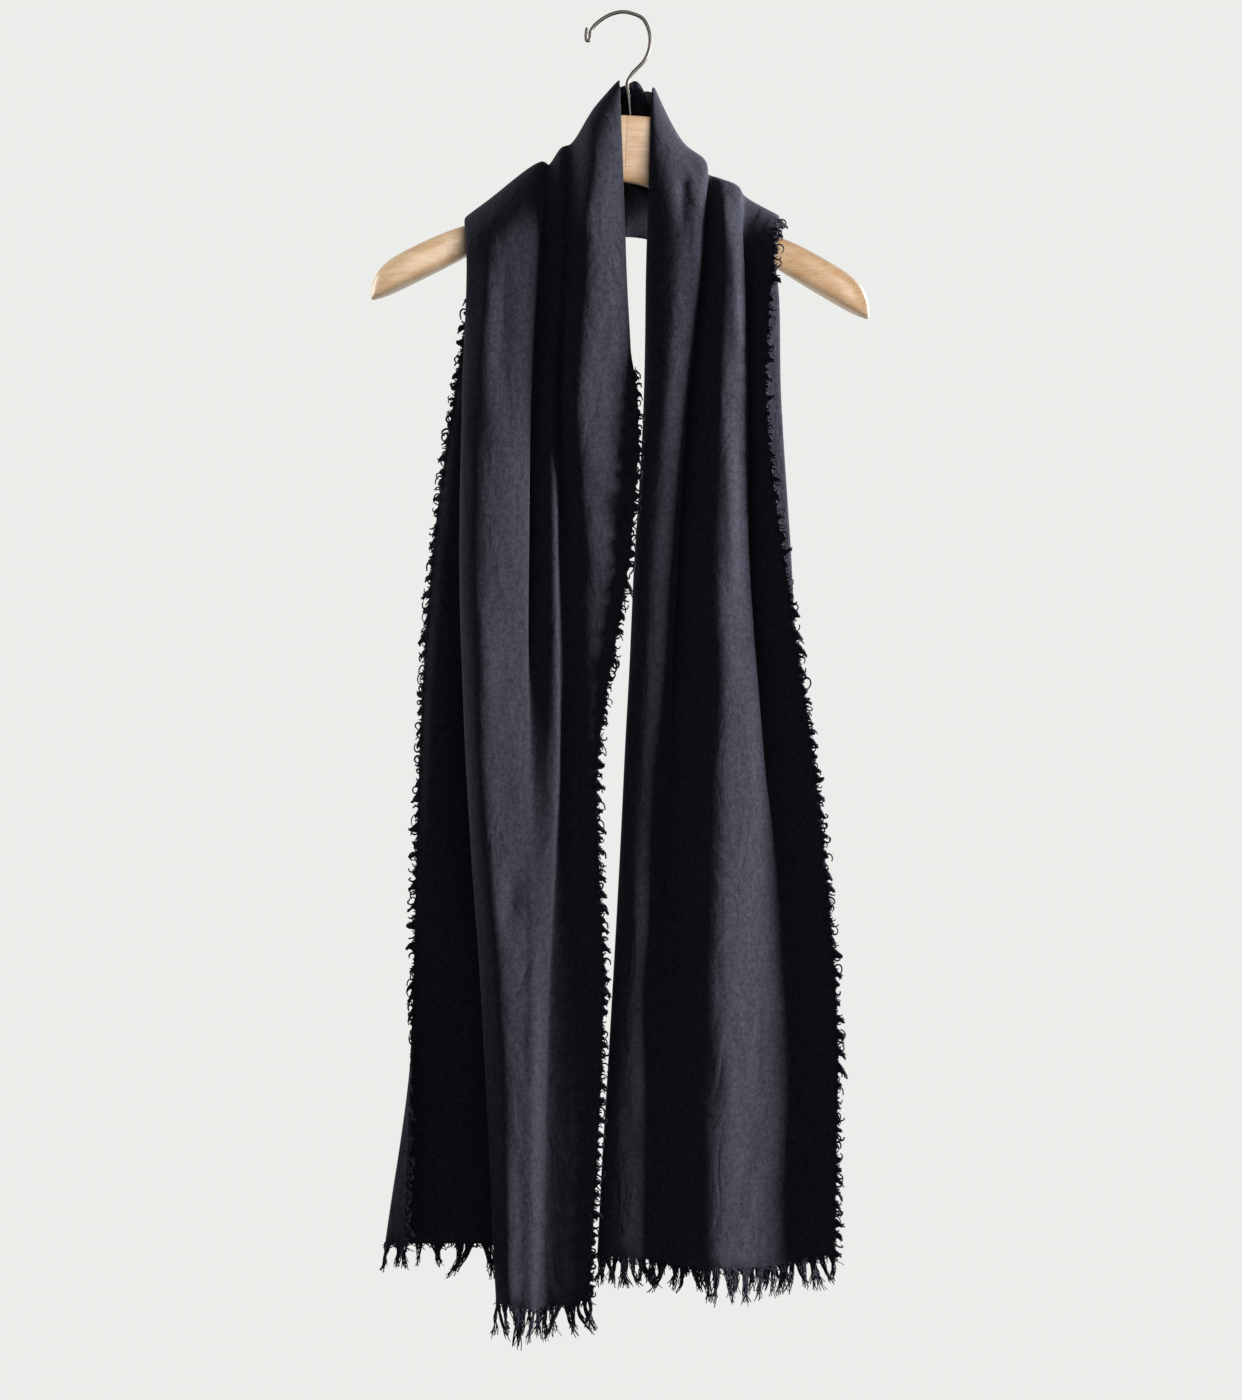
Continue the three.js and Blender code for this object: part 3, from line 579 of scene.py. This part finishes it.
# Each row: distance from the joint, top, bottom, half thickness, roundness of the upper edge.
ARM_SECTIONS = [
    (0, 0, -53.5, 7.5, 0.35),
    (0.08, 0, -53.5, 7.5, 0.35),
    (0.6, 0, -53.6, 7.5, 0.35),
    (12, -0.2, -55, 7.5, 0.35),
    (19, -0.6, -57.4, 7.3, 0.4),
    (20.5, -0.8, -58, 7.2, 0.45),
    (21, -2.5, -58.2, 7.1, 0.45),
    (22.5, -16, -59, 6.2, 0.7),
    (29, -38, -63, 5.8, 1),
    (38, -50, -70, 5.5, 1),
    (50, -57.5, -77, 5.8, 1),
    (62, -62.5, -83, 6.2, 1),
    (87, -76, -98, 6.5, 1),
    (112, -87, -111, 7.5, 1),
    (124, -92, -117.5, 9, 1),
    (139, -97, -126, 13, 0.9),
    (164, -109.8, -139.4, 17, 0.8),
    (180, -118.7, -147.8, 18, 0.8),
    (190, -126.5, -152.5, 16, 0.85),
    (196, -134, -154.5, 11, 0.9),
    (199.5, -146, -156, 5, 1),
]


def bend(value, power):
    """A sine or cosine raised to a power, with its sign kept, which squares or rounds a ring."""
    return math.copysign(abs(value) ** power, value)


def hanger_half(name, direction):
    """Half of the hanger as a bridged loft, placed and tilted in its mesh."""
    half = bmesh.new()
    rings = []
    for at, top, bottom, thick, rounding in ARM_SECTIONS:
        made = bmesh.ops.create_circle(half, cap_ends=False, segments=RING_POINTS, radius=1)
        middle = (top + bottom) / 2
        for vert in made["verts"]:
            angle = math.atan2(vert.co.y, vert.co.x)
            power = rounding if math.sin(angle) > 0 else 0.5
            x = direction * (at + JOINT_GAP / 2)
            y = thick * bend(math.cos(angle), power)
            z = middle + (top - middle) * bend(math.sin(angle), power)
            turned_x = x * math.cos(TILT) + z * math.sin(TILT)
            turned_z = z * math.cos(TILT) - x * math.sin(TILT)
            vert.co = (Vector((turned_x, y, turned_z)) + HANGER_TOP) * MM
        rings.append(list({edge for vert in made["verts"] for edge in vert.link_edges}))
    for first, second in zip(rings, rings[1:]):
        bmesh.ops.bridge_loops(half, edges=first + second)
    for ring in (rings[0], rings[-1]):
        bmesh.ops.holes_fill(half, edges=ring, sides=RING_POINTS)
    bmesh.ops.recalc_face_normals(half, faces=half.faces)
    for face in half.faces:
        face.smooth = len(face.verts) == 4
    mesh = bpy.data.meshes.new(name)
    half.to_mesh(mesh)
    half.free()
    piece = bpy.data.objects.new(name, mesh)
    bpy.context.scene.collection.objects.link(piece)
    print(name, "faces:", len(mesh.polygons))
    return piece


beech_left = hanger_half("beech_left_half", -1)
beech_right = hanger_half("beech_right_half", 1)
for half in (beech_left, beech_right):
    soften = half.modifiers.new("sanded", "SUBSURF")
    soften.levels = 2
    soften.render_levels = 2


# %% [markdown]
# The wire hook
# The hook is one length of plated steel wire. Its end is folded tightly back up beside itself, so
# that no cut end can catch on cloth. A curve with a bevel is the quickest way to draw wire.

# %% Hook
HOOK_PATH = [
    (6.4, -81), (5.2, -68), (4, -56), (8, -48), (18, -37), (21.8, -27), (21.6, -15), (16.5, -4),
    (8, 0.2), (0, 1.5), (-9, -0.5), (-17, -5), (-22.4, -9.8), (-25.3, -14.5), (-25.9, -20),
]
FOLDED_END = [
    (-26.4, -21.3), (-27.6, -21.9), (-28.7, -21.1), (-29.2, -19), (-28.9, -15.5), (-28.4, -11),
]
WIRE_RADIUS = 1.5
FOLDED_RADIUS = 1.25
WIRE_STEPS = 6

wire_path = np.array([(x, 0, z) for x, z in HOOK_PATH + FOLDED_END], float)
wire_points = curve_through(wire_path, [WIRE_STEPS] * (len(wire_path) - 1))
wire_curve = bpy.data.curves.new("hook", "CURVE")
wire_curve.dimensions = "3D"
wire_curve.bevel_depth = WIRE_RADIUS * MM
wire_curve.bevel_resolution = 4
wire_curve.use_fill_caps = True
wire_spline = wire_curve.splines.new("POLY")
wire_spline.points.add(len(wire_points) - 1)
fold_start = WIRE_STEPS * (len(HOOK_PATH) - 2)
for number, (point, place) in enumerate(zip(wire_spline.points, wire_points)):
    point.co = (*(Vector(place) * MM), 1)
    folded = min(max((number - fold_start) / 8, 0), 1)
    from_end = min((len(wire_points) - 1 - number) / 3, 1)
    narrowed = 1 + folded * (FOLDED_RADIUS / WIRE_RADIUS - 1)
    point.radius = narrowed * (0.45 + 0.55 * from_end ** 0.5)
wire_holder = bpy.data.objects.new("hook", wire_curve)
bpy.context.scene.collection.objects.link(wire_holder)
bpy.context.view_layer.update()
wire_shown = wire_holder.evaluated_get(bpy.context.evaluated_depsgraph_get())
wire_mesh = bpy.data.meshes.new_from_object(wire_shown)
bpy.data.objects.remove(wire_holder)
wire_mesh.shade_smooth()
hook = bpy.data.objects.new("hook", wire_mesh)
bpy.context.scene.collection.objects.link(hook)
print("hook faces:", len(wire_mesh.polygons))


# %% [markdown]
# Colours and nodes
# Colours are chosen as hex values, as on a paint card, and turned to the linear values that a
# renderer needs. One helper adds a node, fills in its settings and joins its inputs, so that a
# material reads as a list of what is done to the surface.

# %% Helpers for materials
def linear(hex_colour):
    """An sRGB hex colour as linear red, green, blue and alpha."""
    values = [int(hex_colour[i:i + 2], 16) / 255 for i in (1, 3, 5)]
    return [v / 12.92 if v <= 0.04045 else ((v + 0.055) / 1.055) ** 2.4 for v in values] + [1.0]


def new_material(name, **settings):
    """A material with its shader, and the shader's own values set directly."""
    material = bpy.data.materials.new(name)
    material.use_nodes = True
    shader = material.node_tree.nodes["Principled BSDF"]
    for socket, value in settings.items():
        shader.inputs[socket.replace("_", " ")].default_value = value
    return material, shader


def node(material, kind, values=None, links=None, **settings):
    """Add a node: its settings, its input values, and the sockets that feed it."""
    added = material.node_tree.nodes.new(kind)
    for key, value in settings.items():
        setattr(added, key, value)
    for socket, value in (values or {}).items():
        added.inputs[socket].default_value = value
    for socket, source in (links or {}).items():
        material.node_tree.links.new(source, added.inputs[socket])
    return added


def join(material, source, target):
    """Link an output socket to an input socket."""
    material.node_tree.links.new(source, target)


print("middle grey as linear:", [round(v, 4) for v in linear("#808080")])


# %% [markdown]
# Brushed wool
# The cloth is a fine twill of dark ink blue wool, brushed so that short fibres stand up. They
# scatter light at a glancing angle, which sheen gives. Three sizes of relief are laid over one
# another: small crumples from handling, the twill's ribs, and the fibres that blur them. The ribs
# follow the weave, so they come from the UV map. The rest is laid in the object's own space.

# %% Brushed wool twill
wool, wool_shader = new_material(
    "brushed_wool_twill", Roughness=0.95, Sheen_Weight=0.1, Sheen_Roughness=0.5)
wool_shader.inputs["Specular IOR Level"].default_value = 0.06
wool_shader.inputs["Sheen Tint"].default_value = linear("#a2a4b8")
RIB = 2.4 * MM
uv = node(wool, "ShaderNodeUVMap", uv_map="cloth_metres")
ribs_place = node(wool, "ShaderNodeMapping", links={"Vector": uv.outputs["UV"]},
                  values={"Rotation": (0, 0, math.radians(52))})
ribs = node(wool, "ShaderNodeTexWave", links={"Vector": ribs_place.outputs["Vector"]},
            values={"Scale": 1 / RIB / 20 * 2 * math.pi, "Distortion": 4.0, "Detail": 3,
                    "Detail Scale": 2})
wool_place = node(wool, "ShaderNodeTexCoord")
fibres = node(wool, "ShaderNodeTexNoise", links={"Vector": wool_place.outputs["Object"]},
              values={"Scale": 620, "Detail": 3, "Roughness": 0.7})
nap = node(wool, "ShaderNodeTexNoise", links={"Vector": wool_place.outputs["Object"]},
           values={"Scale": 260, "Detail": 4, "Roughness": 0.65})
crumple_place = node(wool, "ShaderNodeMapping", links={"Vector": wool_place.outputs["Object"]},
                     values={"Rotation": (0, math.radians(28), 0), "Scale": (1, 1, 0.4)})
crumples = node(wool, "ShaderNodeTexNoise", links={"Vector": crumple_place.outputs["Vector"]},
                values={"Scale": 48, "Detail": 3, "Roughness": 0.5, "Distortion": 1.0})
relief = node(wool, "ShaderNodeMix", data_type="FLOAT", values={"Factor": 0.75},
              links={"A": ribs.outputs["Fac"], "B": fibres.outputs["Fac"]})
felted = node(wool, "ShaderNodeMix", data_type="FLOAT", values={"Factor": 0.5},
              links={"A": relief.outputs["Result"], "B": nap.outputs["Fac"]})
crumpled = node(wool, "ShaderNodeBump", values={"Strength": 0.6, "Distance": 3.0 * MM},
                links={"Height": crumples.outputs["Fac"]})
bump = node(wool, "ShaderNodeBump", values={"Strength": 0.5, "Distance": 0.5 * MM},
            links={"Height": felted.outputs["Result"], "Normal": crumpled.outputs["Normal"]})
heather = node(wool, "ShaderNodeMix", data_type="FLOAT", values={"Factor": 0.5},
               links={"A": nap.outputs["Fac"], "B": fibres.outputs["Fac"]})
shade = node(wool, "ShaderNodeMapRange", links={"Value": heather.outputs["Result"]},
             values={"From Min": 0.38, "From Max": 0.62})
dyed = node(wool, "ShaderNodeMix", data_type="RGBA",
            values={"A": linear("#25252d"), "B": linear("#3a3a43")},
            links={"Factor": shade.outputs["Result"]})
join(wool, dyed.outputs["Result"], wool_shader.inputs["Base Color"])
join(wool, bump.outputs["Normal"], wool_shader.inputs["Normal"])
shawl_mesh.materials.append(wool)
print("ribs", RIB * 1000, "mm apart")


# %% [markdown]
# Loose wool yarn
# The loose ends are the same wool and softer. Their colours are darker than the cloth's as painted
# shade for the light lost between the yarns.
# Object coordinates are enough here: the yarns are too thin to show a pattern's direction.

# %% Loose wool yarn
yarn_wool, yarn_shader = new_material(
    "loose_wool_yarn", Roughness=0.95, Sheen_Weight=0.1, Sheen_Roughness=0.5)
yarn_shader.inputs["Specular IOR Level"].default_value = 0.1
yarn_shader.inputs["Sheen Tint"].default_value = linear("#a2a4b8")
yarn_place = node(yarn_wool, "ShaderNodeTexCoord")
yarn_noise = node(yarn_wool, "ShaderNodeTexNoise", links={"Vector": yarn_place.outputs["Object"]},
                  values={"Scale": 400, "Detail": 2})
# Painted shade: both yarn colours are darker than the cloth's, for the shade between the yarns.
yarn_shade = node(yarn_wool, "ShaderNodeMix", data_type="RGBA",
                  values={"A": linear("#1e1f26"), "B": linear("#33343d")},
                  links={"Factor": yarn_noise.outputs["Fac"]})
join(yarn_wool, yarn_shade.outputs["Result"], yarn_shader.inputs["Base Color"])
for piece in yarns.values():
    piece.data.materials.append(yarn_wool)
print("yarn pieces:", len(yarns))


# %% [markdown]
# Lacquered beech
# Beech is pale and pinkish, with fine brown flecks and soft bands of growth that run along the
# plank and curve a little. Stretched noise gives the bands, finer noise the flecks, and a thin
# satin lacquer gives a low gloss. The right half gets darker copies of the colours as painted shade.

# %% Lacquered beech
def beech(name, pale, brown, turn):
    """Lacquered beech in two colours, with its grain turned to run along the arm."""
    wood, shader = new_material(name, Roughness=0.42, Coat_Weight=0.25, Coat_Roughness=0.3)
    place = node(wood, "ShaderNodeTexCoord")
    laid = node(wood, "ShaderNodeMapping", links={"Vector": place.outputs["Object"]},
                values={"Rotation": (0, turn, 0), "Scale": (6, 30, 30)})
    bands = node(wood, "ShaderNodeTexNoise", links={"Vector": laid.outputs["Vector"]},
                 values={"Scale": 5, "Detail": 4, "Roughness": 0.55, "Distortion": 0.6})
    grain_place = node(wood, "ShaderNodeMapping", links={"Vector": place.outputs["Object"]},
                       values={"Rotation": (0, turn, 0), "Scale": (60, 900, 900)})
    grain = node(wood, "ShaderNodeTexNoise", links={"Vector": grain_place.outputs["Vector"]},
                 values={"Scale": 1, "Detail": 3, "Roughness": 0.6})
    ramp = node(wood, "ShaderNodeValToRGB", links={"Fac": bands.outputs["Fac"]})
    ramp.color_ramp.elements[0].position = 0.35
    ramp.color_ramp.elements[0].color = linear(pale)
    ramp.color_ramp.elements[1].position = 0.68
    ramp.color_ramp.elements[1].color = linear(brown)
    flecks = node(wood, "ShaderNodeMapRange", links={"Value": grain.outputs["Fac"]},
                  values={"From Min": 0.52, "From Max": 0.75, "To Min": 0, "To Max": 0.5})
    colour = node(wood, "ShaderNodeMix", data_type="RGBA", values={"B": linear("#9c6b42")},
                  links={"Factor": flecks.outputs["Result"], "A": ramp.outputs["Color"]})
    bump = node(wood, "ShaderNodeBump", values={"Strength": 0.12, "Distance": 0.2 * MM},
                links={"Height": grain.outputs["Fac"]})
    join(wood, colour.outputs["Result"], shader.inputs["Base Color"])
    join(wood, bump.outputs["Normal"], shader.inputs["Normal"])
    return wood


beech_left.data.materials.append(beech("beech_left_plank", "#f2d2a8", "#e2b688", math.radians(-26)))
# Painted shade: the right half's colours are darker than the left's.
beech_right.data.materials.append(beech("beech_right_plank", "#edc89c", "#dbab7c", math.radians(30)))
print("beech planks:", 2)


# %% [markdown]
# Plated wire
# The hook is steel wire with a dark nickel plate, unevenly worn by handling. A metal takes its
# look from its colour and roughness, so both vary slowly along the wire.

# %% Dark nickel plate
nickel, nickel_shader = new_material("dark_nickel_plate", Metallic=1.0, Roughness=0.32)
nickel_place = node(nickel, "ShaderNodeTexCoord")
wear = node(nickel, "ShaderNodeTexNoise", links={"Vector": nickel_place.outputs["Object"]},
            values={"Scale": 140, "Detail": 4})
nickel_colour = node(nickel, "ShaderNodeMix", data_type="RGBA",
                     values={"A": linear("#2d2a28"), "B": linear("#5a5551")},
                     links={"Factor": wear.outputs["Fac"]})
nickel_rough = node(nickel, "ShaderNodeMapRange", links={"Value": wear.outputs["Fac"]},
                    values={"To Min": 0.22, "To Max": 0.42})
join(nickel, nickel_colour.outputs["Result"], nickel_shader.inputs["Base Color"])
join(nickel, nickel_rough.outputs["Result"], nickel_shader.inputs["Roughness"])
wire_mesh.materials.append(nickel)
print("plated pieces:", 1)


# %% [markdown]
# What carries each piece
# Every piece rides on the imported body and says which imported node it stands for.

# %% Ride and replace
stands_for = {
    shawl: ("shawl_left_fall", "shawl_neck_wrap", "shawl_right_fall"),
    beech_left: ("hanger_left_half",),
    beech_right: ("hanger_right_half",),
    hook: ("hook_wire", "hook_tip"),
}
for packed, piece in yarns.items():
    stands_for[piece] = (packed,)
for piece, packed in stands_for.items():
    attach(piece, "root")
    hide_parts(*packed)
print("pieces riding:", len(stands_for))


# %% [markdown]
# Wall, floor and light
# A dark matt cloth shows its folds only when the light comes from one side, so the room itself
# must not light it. The pale floor and wall are one round sheet that glows evenly but is left out
# of diffuse light. A large soft key lamp lights the cloth from the right, almost side on. Pale
# wood wants the opposite, a broad lamp in front. As a photographer flags a lamp off with black
# card, each of these two is linked to what it lights. Two weaker lamps a little behind, right and
# left, light everything and draw the edges, and a very dim grey world fills the shadows.

# %% Studio
ROOM_RADIUS = 7.0
FLOOR = -1.45
WALL_TOP = 6.0
sweep = bmesh.new()
profile = [(0, FLOOR), (ROOM_RADIUS - 0.3, FLOOR), (ROOM_RADIUS - 0.08, FLOOR + 0.1),
           (ROOM_RADIUS, FLOOR + 0.35), (ROOM_RADIUS, WALL_TOP), (0, WALL_TOP + 0.5)]
rim = [sweep.verts.new((radius, 0, height)) for radius, height in profile]
rim_edges = [sweep.edges.new(pair) for pair in zip(rim, rim[1:])]
bmesh.ops.spin(sweep, geom=rim + rim_edges, cent=(0, 0, 0), axis=(0, 0, 1),
               angle=2 * math.pi, steps=48, use_merge=True)
bmesh.ops.remove_doubles(sweep, verts=sweep.verts, dist=0.0005)
bmesh.ops.recalc_face_normals(sweep, faces=sweep.faces)
stage_mesh = bpy.data.meshes.new("studio_sweep")
sweep.to_mesh(stage_mesh)
sweep.free()
studio_sweep = bpy.data.objects.new("studio_sweep", stage_mesh)
studio_sweep.visible_diffuse = False
studio_sweep.visible_shadow = False
bpy.context.scene.collection.objects.link(studio_sweep)
paper, paper_shader = new_material("white_paper_sweep", Roughness=1.0)
paper_shader.inputs["Base Color"].default_value = linear("#000000")
paper_shader.inputs["Specular IOR Level"].default_value = 0.0
paper_shader.inputs["Emission Color"].default_value = linear("#ecedea")
paper_shader.inputs["Emission Strength"].default_value = 0.5
stage_mesh.materials.append(paper)

world = bpy.data.worlds.new("dim_studio")
world.use_nodes = True
world.node_tree.nodes["Background"].inputs["Color"].default_value = linear("#dfe2ea")
world.node_tree.nodes["Background"].inputs["Strength"].default_value = 0.08
bpy.context.scene.world = world


def area_light(name, place, aim, size, power, lights_only=()):
    """A square soft lamp. It lights everything, or only the pieces it is linked to."""
    lamp = bpy.data.lights.new(name, "AREA")
    lamp.shape = "SQUARE"
    lamp.size = size
    lamp.energy = power
    holder = bpy.data.objects.new(name, lamp)
    holder.location = place
    holder.rotation_euler = (Vector(aim) - Vector(place)).to_track_quat("-Z", "Y").to_euler()
    bpy.context.scene.collection.objects.link(holder)
    if lights_only:
        linked = bpy.data.collections.new(name + "_lights")
        for piece in lights_only:
            linked.objects.link(piece)
        holder.light_linking.receiver_collection = linked
    return holder


area_light("key_from_right", (2.55, -0.36, -0.5), (0, 0, -0.55), 1.1, 145,
           lights_only=[shawl, hook, *yarns.values()])
area_light("wood_from_front", (0.8, -2.7, 0.3), (0, 0, -0.15), 1.6, 32,
           lights_only=[beech_left, beech_right, hook])
area_light("rim_from_behind", (1.7, 2.0, 0.2), (0, 0, -0.5), 1.2, 36)
area_light("fill_from_left", (-2.4, 1.0, 0.0), (0, 0, -0.5), 1.4, 24)
bpy.context.scene.view_settings.view_transform = "Standard"
bpy.context.scene.view_settings.exposure = 1.0
print("lights:", 4)
